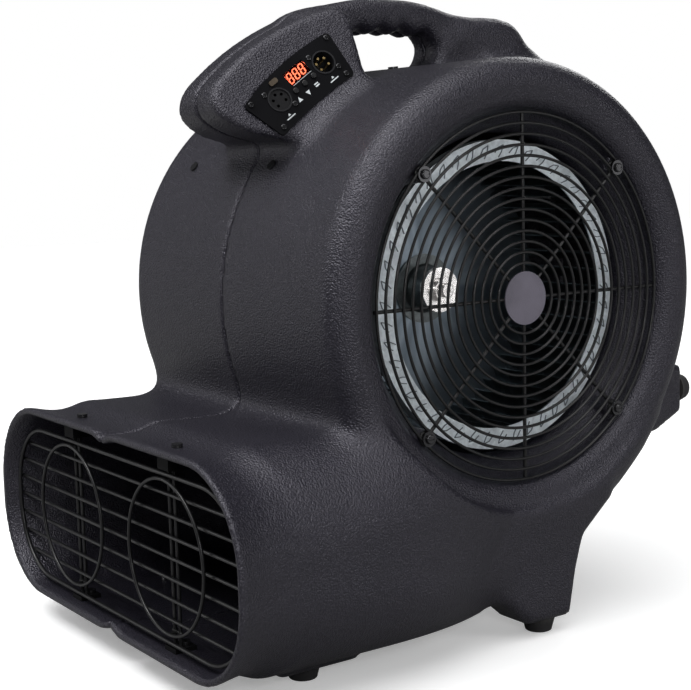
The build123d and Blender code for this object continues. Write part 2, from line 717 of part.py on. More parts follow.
def build_electrics():
    board = panel_box(1, -40, 40, -12, 16, -26, -24.4)
    posts = []
    for u, v in ((2.5, -7.0), (2.5, 12.0)):
        posts.append(panel_rod(1, u, v, -24.4, -9.6, 3.0))
    keep("control_board", board)
    keep("board_posts", *posts)
    turn = math.radians(PANEL_TURN)
    along = Vector(0, math.cos(turn), math.sin(turn))
    centre = Vector(-5, -150, 190)
    a = centre - along * 26
    b = centre + along * 30
    keep("capacitor", rod(a, b, 13))
    plate = panel_box(-1, -29, 29, -17, 17, 0, PANEL_T) - panel_box(-1, -14.2, 14.2, -11.2, 11.2, -1, 3)
    plate_screws = []
    for u, v in ((-25, -13), (25, -13), (-25, 13), (25, 13)):
        plate -= panel_rod(-1, u, v, -1, 4, SCREW_R)
        plate_screws.append(panel_screw(-1, u, v, -6))
    inlet = panel_box(-1, -14, 14, -11, 11, -17, 3.4) - panel_box(-1, -12, 12, -8.5, 8.5, -13, 4)
    prongs = []
    for u, v in ((-7, -1.5), (7, -1.5), (0, 3.0)):
        prong = panel_box(-1, u - 1, u + 1, v - 2, v + 2, -16, -2)
        inlet -= prong
        prongs.append(prong)
    keep("mains_plate", plate)
    keep("mains_inlet", inlet)
    keep("mains_prongs", *prongs)
    return plate_screws


# --------------------------------------------------------------- assembly
def body_screws():
    screws = []
    for x, angle in BODY_SCREWS:
        shank = rod((x, *seam_spot(DRUM_R - 14, angle)), (x, *seam_spot(DRUM_R, angle)), 2.0)
        head = rod((x, *seam_spot(DRUM_R - 0.6, angle)), (x, *seam_spot(DRUM_R + 1.6, angle)), 4.6)
        screws.append(shank + head)
    return screws


def main():
    shell = build_housing()
    washers = []
    guard_screws = []
    for side, name in ((1, "right"), (-1, "left")):
        side_washers, side_screws = guard_fixings(side)
        washers += side_washers
        guard_screws += side_screws
        keep("inlet_guard_" + name, inlet_guard(side))
        keep("wheel_ring_" + name, wheel_ring(side))
    keep("guard_plates", guard_plate(1), guard_plate(-1))
    keep("guard_washers", *washers)
    keep("guard_screws", *guard_screws)
    keep("outlet_guard", *outlet_guard())
    clips = outlet_clips()
    out_screws = outlet_screws()
    shell -= clips
    shell -= out_screws
    clips = [clip - screw for clip in clips for screw in out_screws
             if abs(clip.center().X - screw.center().X) < 5 and abs(clip.center().Z - screw.center().Z) < 30]
    keep("outlet_clips", *clips)
    keep("outlet_screws", *out_screws)
    for x, angle in BODY_SCREWS[:2]:
        low = seam_spot(DRUM_R - 16, angle)
        high = seam_spot(DRUM_R - 4, angle)
        shell += rod((x, *low), (x, *high), 6.5)
    screws = body_screws()
    shell -= screws
    keep("body_screws", *screws)
    bolts = []
    for r, angle in SEAM_BOLT_SPOTS:
        y, z = seam_spot(r, angle)
        bolt = rod((-19, y, z), (19, y, z), 2.7)
        bolt += rod((16, y, z), (19.5, y, z), 5.0)
        bolt += extrude(Plane(origin=(-20, y, z), z_dir=(1, 0, 0)) * RegularPolygon(5.2, 6), amount=4)
        bolts.append(bolt)
    shell -= bolts
    keep("seam_bolts", *bolts)

    keep("wheel_disc", tube_x(9.6, WHEEL_R - 1.2, DISC_X - DISC_T / 2, DISC_X + DISC_T / 2))
    keep("blades_right", *blades(DISC_X + DISC_T / 2, WHEEL_HALF - RING_T))
    keep("blades_left", *blades(-WHEEL_HALF + RING_T, DISC_X - DISC_T / 2))
    cup, flange, bush, collar, bolt = hub_parts()
    keep("hub_cup", cup + bush)
    keep("hub_flange", flange)
    keep("lock_collar", collar)
    keep("shaft_bolt", bolt)
    keep("shaft", tube_x(0, SHAFT_R, MOTOR_REAR - 6, DISC_X + 33))
    keep("rotor", tube_x(SHAFT_R, 39.4, -87, -25))
    build_motor()

    foot_body = foot()
    screw_body = foot_screw()
    foot_screws = []
    for name, places in foot_places().items():
        keep(name, *[place * foot_body for place in places])
        foot_screws += [place * screw_body for place in places]
    shell -= foot_screws
    keep("foot_screws", *foot_screws)

    shell -= panel_box(1, -37.5, 44.0, -14.5, 18.2, -7, 0)
    shell -= panel_box(-1, -15, 15, -12, 12, -7, 0)
    panel_screws = build_panel() + build_electrics()
    build_display()
    shell -= panel_screws
    keep("panel_screws", *panel_screws)
    reach = 400
    keep("housing_right", shell & box(SEAM_GAP, reach, -reach, reach, -reach, reach))
    keep("housing_left", shell & box(-reach, -SEAM_GAP, -reach, reach, -reach, reach))
    for name, shape in nodes.items():
        export_step(shape, "parts/" + name + ".step")
    print(len(nodes), "nodes")


main()
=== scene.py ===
import bpy
import json
import math
import numpy as np
from mathutils import Matrix, Vector


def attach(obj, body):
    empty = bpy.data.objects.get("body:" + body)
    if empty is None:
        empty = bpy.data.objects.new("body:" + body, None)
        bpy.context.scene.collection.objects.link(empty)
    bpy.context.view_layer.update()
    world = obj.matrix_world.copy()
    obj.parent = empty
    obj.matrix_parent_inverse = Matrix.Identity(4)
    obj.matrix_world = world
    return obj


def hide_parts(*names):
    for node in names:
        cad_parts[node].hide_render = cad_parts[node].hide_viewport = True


# Looks of the air mover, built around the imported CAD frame.
# The shell is shaped by signed distance fields in millimetres about the wheel axis
# (X along the axis, -Y towards the mouth) and then moved into the row frame.

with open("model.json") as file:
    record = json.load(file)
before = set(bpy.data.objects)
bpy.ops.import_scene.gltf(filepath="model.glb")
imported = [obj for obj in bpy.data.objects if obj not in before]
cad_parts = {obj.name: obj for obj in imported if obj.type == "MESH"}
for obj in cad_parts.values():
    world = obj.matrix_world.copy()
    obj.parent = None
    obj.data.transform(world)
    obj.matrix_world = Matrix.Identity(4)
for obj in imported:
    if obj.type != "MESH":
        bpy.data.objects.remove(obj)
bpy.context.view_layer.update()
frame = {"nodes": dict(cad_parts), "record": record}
nodes = frame["nodes"]
scene = bpy.context.scene

MM = 0.001
LENS = 74.75
CAMERA_AT = (1072.47, -813.94, 121.83)  # millimetres about the wheel axis
CAMERA_TURNS = (55.37, 7.44, -1.46)     # turn, tilt and roll in degrees
FLOOR_HALF = 6.0
AXIS = Vector((0.0, 0.043, 0.298))      # wheel axis in the row frame

# shell, in millimetres about the wheel axis
STEP = 3.5                              # grid pitch of the distance fields
WALL = 6.5
INLET_WALL = 9.0
SEAM_HALF_GAP = 0.02
MOUTH_Y = -323.0
DRUM_R = 202.0
DRUM_HALF = 173.6
RIM_R = 22.0
RIM_CENTRE_R = 179.0
THROAT_R = 140.0
VOLUTE_HALF = 168.0
VOLUTE_EDGE = 34.0
POD_HALF = 62.0
HANDLE_HALF_WIDE = 21.0
HANDLE_HALF_THICK = 15.5
HANDLE_CORNER = 12.0
PANEL_AT = (46.0, -145.3, 183.2)
PANEL_TURN = math.radians(35.0)
PANEL_LEAN = math.radians(25.0)
BLADE_COUNT = 48
CLIP_R = 151.5


# ------------------------------------------------------------------ distance fields
def rounded(a, b, radius):
    """Where both distances are negative, with the edge between them rounded."""
    p = a + radius
    q = b + radius
    out = np.sqrt(np.maximum(p, 0) ** 2 + np.maximum(q, 0) ** 2)
    return out + np.minimum(np.maximum(p, q), 0) - radius


def join(a, b, blend):
    """Union with a fillet about as wide as blend."""
    h = np.maximum(blend - np.abs(a - b), 0) / blend
    return np.minimum(a, b) - h * h * blend / 4


def cut(a, b, blend):
    """What a and b share, with the edge between them softened by blend."""
    return -join(-a, -b, blend)


def outline(points, u, v):
    """Signed distance from a closed outline in a plane, negative inside."""
    best = np.full(np.broadcast(u, v).shape, np.inf)
    inside = np.zeros(best.shape, bool)
    for (ax, ay), (bx, by) in zip(points, points[1:] + points[:1]):
        ex, ey = bx - ax, by - ay
        wu, wv = u - ax, v - ay
        t = np.clip((wu * ex + wv * ey) / (ex * ex + ey * ey), 0, 1)
        best = np.minimum(best, (wu - ex * t) ** 2 + (wv - ey * t) ** 2)
        if ey != 0:
            inside ^= ((ay > v) != (by > v)) & (u < ax + wv * ex / ey)
    return np.where(inside, -1, 1) * np.sqrt(best)


def arc(centre, radius, first, last, count):
    """Points of an arc in a plane, angles in degrees."""
    angles = np.radians(np.linspace(first, last, count))
    return [(centre[0] + radius * math.cos(a), centre[1] + radius * math.sin(a)) for a in angles]


def smooth_path(points, per_span=8):
    """Catmull-Rom curve through the points."""
    p = np.array([points[0]] + list(points) + [points[-1]], float)
    found = []
    for i in range(1, len(p) - 2):
        for t in np.linspace(0, 1, per_span, endpoint=False):
            a = 2 * p[i]
            b = (p[i + 1] - p[i - 1]) * t
            c = (2 * p[i - 1] - 5 * p[i] + 4 * p[i + 1] - p[i + 2]) * t * t
            d = (3 * p[i] - p[i - 1] - 3 * p[i + 1] + p[i + 2]) * t ** 3
            found.append(tuple((a + b + c + d) / 2))
    found.append(tuple(p[-1]))
    return found


# ------------------------------------------------------------------ shell
def panel_frame(side):
    """Centre and the along, up and out directions of a control panel, in millimetres about the axis."""
    ct, st = math.cos(PANEL_TURN), math.sin(PANEL_TURN)
    cl, sl = math.cos(PANEL_LEAN), math.sin(PANEL_LEAN)
    along = np.array((0, ct, st)) * side
    up = np.array((-sl * side, -st * cl, ct * cl))
    out = np.array((cl * side, -st * sl, ct * sl))
    return np.array((PANEL_AT[0] * side, PANEL_AT[1], PANEL_AT[2])), along, up, out


def drum(x, rho):
    return rounded(np.abs(x) - DRUM_HALF, rho - DRUM_R, RIM_R)


def volute(x, y, z):
    points = [(-263, -106), (-140, -109)] + arc((0, 0), DRUM_R, -35, -36, 2)
    points += [(146, -152), (118, -184), (80, -213), (32, -241), (-50, -266), (-263, -269)]
    return rounded(np.abs(x) - VOLUTE_HALF, outline(points, y, z), VOLUTE_EDGE)


def duct(x, y, z):
    """Flared duct: half-width, top, bottom and corner radius run smoothly along Y."""
    at = np.array((MOUTH_Y, MOUTH_Y + 23, MOUTH_Y + 120, -50.0)) / 100

    def run(*values):
        return np.polyval(np.polyfit(at, values, 3), y / 100)

    half = run(224, 215, 206, 171)
    top = run(-95, -100, -107, -117)
    low = run(-270, -269, -267, -264)
    corner = run(78, 75, 62, 48)
    lip = np.exp(-((y - MOUTH_Y) / 16) ** 2)
    dip = 5.0 * np.exp(-(x / 11) ** 2) * lip
    mid = (top + low) / 2
    tall = (top - low) / 2
    d = rounded(np.abs(x) - half, np.abs(z - mid) - tall + dip, corner)
    return cut(d, y + 50, 8)


def pod(x, y, z):
    nose = smooth_path([(-120, 130), (-176, 139.5), (-203, 148.5), (-219, 162), (-217.5, 180), (-200, 198),
                        (-176, 216), (-148, 232), (-122, 243), (-98, 250), (-86, 245)], 4)
    body = rounded(np.abs(x) - POD_HALF, outline(nose + [(-84, 190), (-84, 150)], y, z), 14)
    for side in (1, -1):
        at, _, _, out = panel_frame(side)
        face = (x - at[0]) * out[0] + (y - at[1]) * out[1] + (z - at[2]) * out[2]
        body = cut(body, face, 5)
    return body


def handle(x, y, z):
    """Carrying arch with finger bumps on its underside."""
    path = smooth_path([(-116, 232), (-104, 236), (-61, 245), (-30, 246.4), (-4, 246.2), (18, 243),
                        (42, 237), (68, 232), (85, 230.8), (110, 230)])
    best = np.full(np.broadcast(y, z).shape, np.inf)
    for (ay, az), (by, bz) in zip(path, path[1:]):
        ey, ez = by - ay, bz - az
        t = np.clip(((y - ay) * ey + (z - az) * ez) / (ey * ey + ez * ez), 0, 1)
        best = np.minimum(best, (y - ay - ey * t) ** 2 + (z - az - ez * t) ** 2)
    below = z < np.interp(y, [p[0] for p in path], [p[1] for p in path])
    bumps = 2.2 * (np.cos(y * 2 * math.pi / 24) - 1) * ((y > -72) & (y < 30)) * below
    thick = np.sqrt(best) - HANDLE_HALF_THICK - bumps
    return rounded(np.abs(x) - HANDLE_HALF_WIDE, thick, HANDLE_CORNER)


def spine(x, y, z):
    """Rear root of the handle, with the flat for the upper pegs."""
    narrow = [(12, 190), (30, 226), (58, 241), (84, 245), (99, 245), (112, 240), (125, 232.5), (140, 222)]
    narrow += [(152, 212), (206, 184), (224, 164), (224, 100), (150, 100), (100, 150)]
    broad = [(60, 190), (80, 207), (108, 208), (146, 199), (185, 184), (212, 169),
             (224, 156), (224, 100), (150, 100)]
    a = rounded(np.abs(x) - 23, outline(narrow, y, z), 10)
    b = rounded(np.abs(x) - 64, outline(broad, y, z), 14)
    return join(a, b, 30)


def legs(x, y, z):
    """Two rear legs, two pads for the front feet and two bosses for the low pegs."""
    rear = [(-60, -226), (-38, -256), (-4, -285), (44, -285), (52, -244), (61, -214),
            (91, -184), (90, -160), (0, -160)]
    rear = rounded(np.abs(np.abs(x) - 149) - 25, outline(rear, y, z), 9)
    front = rounded(np.abs(np.abs(x) - 120.6) - 25, outline([(-245, -250), (-241, -285), (-169, -285),
                                                            (-160, -250)], y, z), 7)
    boss = [(150, -60), (196, -74), (224, -84), (224, -128), (190, -144), (120, -150)]
    boss = rounded(np.abs(np.abs(x) - 117) - 22, outline(boss, y, z), 9)
    return rear, front, boss


def inlet_void(x, rho, grow=0.0):
    """Space in front of an inlet: straight throat, cone and rolled rim, grown outwards only."""
    reach = np.abs(x)
    crest = DRUM_HALF - RIM_R
    roll = RIM_CENTRE_R - np.sqrt(np.maximum(RIM_R ** 2 - np.clip(reach - crest, 0, RIM_R) ** 2, 0))
    cone = THROAT_R + (RIM_CENTRE_R - RIM_R - THROAT_R) * np.clip((reach - 128) / (crest - 128), 0, 1) ** 1.5
    edge = np.where(reach > crest, roll, cone)
    slope = np.gradient(edge.ravel(), STEP).reshape(edge.shape)
    side = (rho - edge) / np.sqrt(1 + slope * slope)
    return np.maximum(side - grow, 112 - grow / 9 - reach)


def panel_box(side, x, y, z, u, v, w):
    """Box on a control panel, from three (low, high) pairs."""
    at, along, up, out = panel_frame(side)
    found = None
    for way, (low, high) in ((along, u), (up, v), (out, w)):
        s = (x - at[0]) * way[0] + (y - at[1]) * way[1] + (z - at[2]) * way[2]
        d = np.abs(s - (low + high) / 2) - (high - low) / 2
        found = d if found is None else np.maximum(found, d)
    return found


def shell(x, y, z):
    rho = np.sqrt(y * y + z * z)
    barrel = drum(x, rho)
    scroll = volute(x, y, z)
    mouth = duct(x, y, z)
    core = join(barrel, scroll, 26)
    core = join(core, mouth, 44)
    rear, front, boss = legs(x, y, z)
    outer = join(core, pod(x, y, z), 20)
    outer = join(outer, join(handle(x, y, z), spine(x, y, z), 16), 9)
    outer = join(outer, rear, 14)
    outer = join(outer, boss, 20)
    outer = join(outer, front, 12)
    outer = cut(outer, MOUTH_Y - y, 5)
    hollow = core + WALL
    void = inlet_void(x, rho)
    hollow = np.maximum(hollow, -inlet_void(x, rho, INLET_WALL) - 2)
    body = cut(outer, -hollow, 3)
    body = cut(body, -void, 3)
    for turn in range(4):
        a = math.radians(45 + 90 * turn)
        post = np.sqrt((y - CLIP_R * math.cos(a)) ** 2 + (z - CLIP_R * math.sin(a)) ** 2) - 7.5
        body = join(body, np.maximum(post, np.abs(np.abs(x) - 149.5) - 9.5), 4)
        lug_y = 141 * math.cos(a - math.pi / 4)
        lug_z = 141 * math.sin(a - math.pi / 4)
        arm = np.sqrt((y - lug_y) ** 2 + (z - lug_z) ** 2) - 8
        body = join(body, np.maximum(arm, np.abs(x + 136) - 9.7), 4)
    pocket = panel_box(1, x, y, z, (-37, 43.5), (-14, 17.6), (-32, 30))
    body = cut(body, -pocket, 1)
    pocket = panel_box(-1, x, y, z, (-16, 16), (-13, 13), (-20, 30))
    return cut(body, -pocket, 1)


# ------------------------------------------------------------------ meshes
def surface_nets(field, origin, step):
    """Quads around the zero level of a field on a grid: one vertex for each cell the surface crosses."""
    inside = field < 0
    count = np.zeros([n - 1 for n in field.shape], np.int8)
    corners = [(a, b, c) for a in (0, 1) for b in (0, 1) for c in (0, 1)]
    for a, b, c in corners:
        count += inside[a:inside.shape[0] - 1 + a, b:inside.shape[1] - 1 + b, c:inside.shape[2] - 1 + c]
    mixed = (count > 0) & (count < 8)
    index = np.full(mixed.shape, -1)
    index[mixed] = np.arange(mixed.sum())
    cells = np.argwhere(mixed)
    total = np.zeros((len(cells), 3))
    hits = np.zeros(len(cells))
    for axis in range(3):
        unit = np.eye(3, dtype=int)[axis]
        for a, b, c in corners:
            if (a, b, c)[axis]:
                continue
            start = cells + (a, b, c)
            end = start + unit
            fa = field[tuple(start.T)]
            fb = field[tuple(end.T)]
            crossed = (fa < 0) != (fb < 0)
            t = fa[crossed] / (fa[crossed] - fb[crossed])
            total[crossed] += start[crossed] + t[:, None] * unit
            hits[crossed] += 1
    points = total / hits[:, None]
    quads = []
    for axis in range(3):
        b, c = (axis + 1) % 3, (axis + 2) % 3
        low = [slice(1, n - 1) for n in field.shape]
        low[axis] = slice(0, field.shape[axis] - 1)
        high = list(low)
        high[axis] = slice(1, field.shape[axis])
        first, second = inside[tuple(low)], inside[tuple(high)]
        for sign, found in ((1, first & ~second), (-1, ~first & second)):
            node = np.argwhere(found) + [0 if k == axis else 1 for k in range(3)]
            ring = []
            for db, dc in ((1, 1), (0, 1), (0, 0), (1, 0)):
                cell = node.copy()
                cell[:, b] -= db
                cell[:, c] -= dc
                ring.append(index[tuple(cell.T)])
            ring = np.stack(ring if sign > 0 else ring[::-1], axis=1)
            quads.append(ring)
    points = settle(points, field)
    return points * step + origin, np.concatenate(quads)


def sample(field, points):
    """Trilinear value of a field at grid points."""
    low = np.clip(np.floor(points).astype(int), 0, np.array(field.shape) - 2)
    t = points - low
    value = 0
    for a in (0, 1):
        for b in (0, 1):
            for c in (0, 1):
                weight = np.abs(1 - a - t[:, 0]) * np.abs(1 - b - t[:, 1]) * np.abs(1 - c - t[:, 2])
                value = value + weight * field[low[:, 0] + a, low[:, 1] + b, low[:, 2] + c]
    return value


def settle(points, field, rounds=2):
    """Moves vertices onto the zero level, at most half a cell."""
    slopes = np.gradient(field)
    for _ in range(rounds):
        d = sample(field, points)
        g = np.stack([sample(s, points) for s in slopes], axis=1)
        move = -(d / np.maximum((g * g).sum(1), 1e-6))[:, None] * g
        long = np.linalg.norm(move, axis=1)
        points = points + move * np.minimum(1, 0.35 / np.maximum(long, 1e-9))[:, None]
    return points


def new_mesh(name, points, faces):
    """Mesh object from arrays of points in metres and of equal-sided faces."""
    mesh = bpy.data.meshes.new(name)
    faces = np.asarray(faces)
    sides = faces.shape[1]
    mesh.vertices.add(len(points))
    mesh.vertices.foreach_set("co", np.asarray(points, np.float32).ravel())
    mesh.loops.add(faces.size)
    mesh.loops.foreach_set("vertex_index", faces.astype(np.int32).ravel())
    mesh.polygons.add(len(faces))
    mesh.polygons.foreach_set("loop_start", np.arange(0, faces.size, sides, dtype=np.int32))
    mesh.polygons.foreach_set("use_smooth", np.ones(len(faces), bool))
    mesh.update(calc_edges=True)
    mesh.validate()
    obj = bpy.data.objects.new(name, mesh)
    scene.collection.objects.link(obj)
    return obj


def place(points):
    """Millimetres about the wheel axis to metres in the row frame."""
    return np.asarray(points, float) * MM + np.array(AXIS)


def build_shell(side):
    """One moulded half, closed at the seam."""
    width = 228.0
    xs = np.arange(-STEP, width + 2 * STEP, STEP) + SEAM_HALF_GAP + 0.5 * STEP
    xs = xs if side > 0 else -xs[::-1]
    ys = np.arange(MOUTH_Y - 2 * STEP, 237.0, STEP)
    zs = np.arange(-298.0, 276.0, STEP)
    x, y, z = xs[:, None, None], ys[None, :, None], zs[None, None, :]
    field = cut(shell(x, y, z), SEAM_HALF_GAP - side * x, 3)
    points, faces = surface_nets(field, np.array((xs[0], ys[0], zs[0])), STEP)
    half = "right" if side > 0 else "left"
    obj = new_mesh("shell_" + half, place(points), faces)
    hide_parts("housing_" + half)
    return obj


def on_panel(u, v, w):
    """A place on the right control panel, in millimetres about the axis."""
    at, along, up, out = panel_frame(1)
    return at + along * u + up * v + out * w


def raised(outlines, lift, thick, to_world):
    """Thin prisms over flat outlines; to_world turns (u, v, w) into millimetres about the axis."""
    points, faces = [], []
    for ring in outlines:
        start, n = len(points), len(ring)
        for w in (lift, lift + thick):
            points += [to_world(u, v, w) for u, v in ring]
        middle = np.mean(ring, axis=0)
        points += [to_world(middle[0], middle[1], lift), to_world(middle[0], middle[1], lift + thick)]
        for i in range(n):
            j = (i + 1) % n
            faces += [(start + i, start + j, start + n + j), (start + i, start + n + j, start + n + i)]
            faces += [(start + 2 * n, start + j, start + i),
                      (start + 2 * n + 1, start + n + i, start + n + j)]
    return points, faces


def flat_shaded(obj):
    for polygon in obj.data.polygons:
        polygon.use_smooth = False


def print_and_painted_highlight():
    """Small plain symbols: arrows and a bar by the buttons, a triangle and a line by each socket, and a thin
    light bar under the display window that is a painted highlight.
    """
    marks = []
    for u, way in ((-9.9, 1), (0.6, -1)):
        base, tip = -9.8 - 1.7 * way, -9.8 + 2.7 * way
        marks.append([(u - 2.2, base), (u + 2.2, base), (u, tip)][::way])
    for v in (-10.9, -8.9):
        marks.append([(9.4, v), (13.8, v), (13.8, v + 1.2), (9.4, v + 1.2)])
    for u in (-27.0, 27.3):
        marks.append([(u - 1.5, -14.2), (u + 1.5, -14.2), (u, -12.1)])
        marks.append([(u - 4.8, -16.4), (u + 4.8, -16.4), (u + 4.8, -15.4), (u - 4.8, -15.4)])
    # painted highlight: a thin light bar under the display window stands for the light caught along the
    # window's lower edge
    marks.append([(-5.8, 2.3), (16.2, 2.3), (16.2, 2.7), (-5.8, 2.7)])
    points, faces = raised(marks, 2.0, 0.06, on_panel)
    obj = new_mesh("print_and_painted_highlight", place(points), faces)
    flat_shaded(obj)
    return obj


def blade_tabs(side):
    """The crimped ends of the blades on a wheel ring: the raised outline of a leaf at each blade."""
    leaf = [(122.6, 5.0), (127.2, 1.2), (129.4, -4.6), (123.6, -2.6), (118.8, 1.0)]
    leaves = []
    for i in range(BLADE_COUNT):
        turn = 2 * math.pi * i / BLADE_COUNT
        for a, b in zip(leaf, leaf[1:]):
            a, b = np.array(a), np.array(b)
            way = (b - a) / np.linalg.norm(b - a)
            off = 0.4 * np.array((-way[1], way[0]))
            ring = [a - off, b - off, b + off, a + off]
            leaves.append([(r * math.cos(turn) - t * math.sin(turn), r * math.sin(turn) + t * math.cos(turn))
                           for r, t in ring])
    points, faces = raised(leaves, 132.0, 0.6, lambda u, v, w: np.array((w * side, u, v)))
    obj = new_mesh("blade_tabs_" + ("right" if side > 0 else "left"), place(points), faces)
    flat_shaded(obj)
    return obj


# ------------------------------------------------------------------ materials
def new_material(name):
    made = bpy.data.materials.new(name)
    made.use_nodes = True
    tree = made.node_tree
    shader = tree.nodes["Principled BSDF"]
    return made, tree, shader


def ramp(tree, source, stops):
    """Colour ramp fed by a socket; stops are (place, colour)."""
    node = tree.nodes.new("ShaderNodeValToRGB")
    while len(node.color_ramp.elements) < len(stops):
        node.color_ramp.elements.new(1.0)
    for element, (at, colour) in zip(node.color_ramp.elements, stops):
        element.position = at
        element.color = (*colour, 1.0)
    tree.links.new(source, node.inputs["Fac"])
    return node.outputs["Color"]


def grey(value):
    return (value, value, value)


def noise(tree, scale, detail=3.0, rough=0.55, stretch=None):
    """Noise over object coordinates, as a value socket; stretch scales it along each axis."""
    place_at = tree.nodes.new("ShaderNodeTexCoord").outputs["Object"]
    if stretch:
        mapping = tree.nodes.new("ShaderNodeMapping")
        mapping.inputs["Scale"].default_value = stretch
        tree.links.new(place_at, mapping.inputs["Vector"])
        place_at = mapping.outputs["Vector"]
    node = tree.nodes.new("ShaderNodeTexNoise")
    node.inputs["Scale"].default_value = scale
    node.inputs["Detail"].default_value = detail
    node.inputs["Roughness"].default_value = rough
    tree.links.new(place_at, node.inputs["Vector"])
    return node.outputs["Fac"]


def cells(tree, scale, feature="F1"):
    node = tree.nodes.new("ShaderNodeTexVoronoi")
    node.feature = feature
    node.inputs["Scale"].default_value = scale
    tree.links.new(tree.nodes.new("ShaderNodeTexCoord").outputs["Object"], node.inputs["Vector"])
    return node


def bump(tree, shader, height, distance, strength=1.0, under=None):
    node = tree.nodes.new("ShaderNodeBump")
    node.inputs["Strength"].default_value = strength
    node.inputs["Distance"].default_value = distance
    tree.links.new(height, node.inputs["Height"])
    if under is not None:
        tree.links.new(under, node.inputs["Normal"])
    tree.links.new(node.outputs["Normal"], shader.inputs["Normal"])
    return node.outputs["Normal"]


def spread(tree, source, low, high):
    """Maps a 0..1 socket onto low..high."""
    node = tree.nodes.new("ShaderNodeMapRange")
    node.inputs["To Min"].default_value = low
    node.inputs["To Max"].default_value = high
    tree.links.new(source, node.inputs["Value"])
    return node.outputs["Result"]


def mix(tree, factor, a, b, blend="MIX"):
    node = tree.nodes.new("ShaderNodeMix")
    node.data_type = "RGBA"
    node.blend_type = blend
    for socket, value in ((node.inputs[0], factor), (node.inputs[6], a), (node.inputs[7], b)):
        if isinstance(value, bpy.types.NodeSocket):
            tree.links.new(value, socket)
        elif socket.name == "Factor":
            socket.default_value = value
        else:
            socket.default_value = (*value, 1.0)
    return node.outputs[2]


def worn_edges(tree, low=0.54, high=0.62):
    """A factor that is 1 along raised edges and 0 elsewhere."""
    point = tree.nodes.new("ShaderNodeNewGeometry").outputs["Pointiness"]
    node = tree.nodes.new("ShaderNodeMapRange")
    node.inputs["From Min"].default_value = low
    node.inputs["From Max"].default_value = high
    tree.links.new(point, node.inputs["Value"])
    return node.outputs["Result"]


def moulded_shell():
    """Rotomoulded polyethylene: charcoal with a violet cast and a fine pebbled grain, whose raised tips are
    coloured lighter as a painted highlight.
    """
    made, tree, shader = new_material("moulded_shell")
    broad = noise(tree, 9.0, 3.0)
    fine = noise(tree, 620.0, 2.0, 0.6)
    pebble = cells(tree, 640.0, "SMOOTH_F1")
    pebble.inputs["Smoothness"].default_value = 0.35
    base = ramp(tree, broad, [(0.3, (0.0105, 0.0098, 0.0150)), (0.7, (0.0145, 0.0134, 0.0195))])
    # painted highlight: the raised tips of the pebbled grain are coloured lighter to stand for small glints
    # of light
    painted_tip_glints = ramp(tree, pebble.outputs["Distance"], [(0.12, grey(1.0)), (0.5, grey(0.0))])
    base = mix(tree, painted_tip_glints, base, (0.040, 0.038, 0.051))
    base = mix(tree, spread(tree, fine, 0.0, 0.5), base, (0.006, 0.0055, 0.008))
    tree.links.new(base, shader.inputs["Base Color"])
    tree.links.new(spread(tree, fine, 0.24, 0.42), shader.inputs["Roughness"])
    height = tree.nodes.new("ShaderNodeMath")
    height.operation = "MULTIPLY_ADD"
    height.inputs[1].default_value = -1.0
    tree.links.new(pebble.outputs["Distance"], height.inputs[0])
    tree.links.new(fine, height.inputs[2])
    bump(tree, shader, height.outputs[0], 0.0006, 1.0)
    shader.inputs["Specular IOR Level"].default_value = 0.55
    shader.inputs["Specular Tint"].default_value = (0.92, 0.90, 1.0, 1.0)
    return made


def coated(name, colour, rough=0.38, grain=900.0, depth=0.00015, metallic=0.0, spec=0.5, wear=None):
    """Paint or moulded plastic with a light orange peel and slight unevenness."""
    made, tree, shader = new_material(name)
    broad = noise(tree, 30.0, 3.0)
    low = tuple(c * 0.8 for c in colour)
    high = tuple(min(1.0, c * 1.25) for c in colour)
    base = ramp(tree, broad, [(0.3, low), (0.7, high)])
    if wear:
        base = mix(tree, worn_edges(tree), base, wear)
    tree.links.new(base, shader.inputs["Base Color"])
    worn = spread(tree, noise(tree, 120.0, 3.0), rough - 0.07, rough + 0.09)
    tree.links.new(worn, shader.inputs["Roughness"])
    bump(tree, shader, noise(tree, grain, 2.0), depth, 0.6)
    shader.inputs["Metallic"].default_value = metallic
    shader.inputs["Specular IOR Level"].default_value = spec
    return made


def metal(name, colour, rough=0.3, stretch=(900.0, 60.0, 60.0), depth=0.00008, patches=0.0):
    """Bare metal with drawn or turned marks along one way and, for zinc, crystal patches."""
    made, tree, shader = new_material(name)
    streak = noise(tree, 1.0, 4.0, 0.6, stretch)
    low = tuple(c * 0.82 for c in colour)
    high = tuple(min(1.0, c * 1.12) for c in colour)
    base = ramp(tree, streak, [(0.3, low), (0.7, high)])
    if patches:
        patch = cells(tree, 130.0)
        tone = ramp(tree, patch.outputs["Color"], [(0.2, grey(1 - patches)), (0.8, grey(1.0))])
        base = mix(tree, 1.0, base, tone, "MULTIPLY")
    tree.links.new(base, shader.inputs["Base Color"])
    worn = spread(tree, noise(tree, 70.0, 3.0), rough - 0.08, rough + 0.12)
    tree.links.new(worn, shader.inputs["Roughness"])
    bump(tree, shader, streak, depth, 0.5)
    shader.inputs["Metallic"].default_value = 1.0
    return made


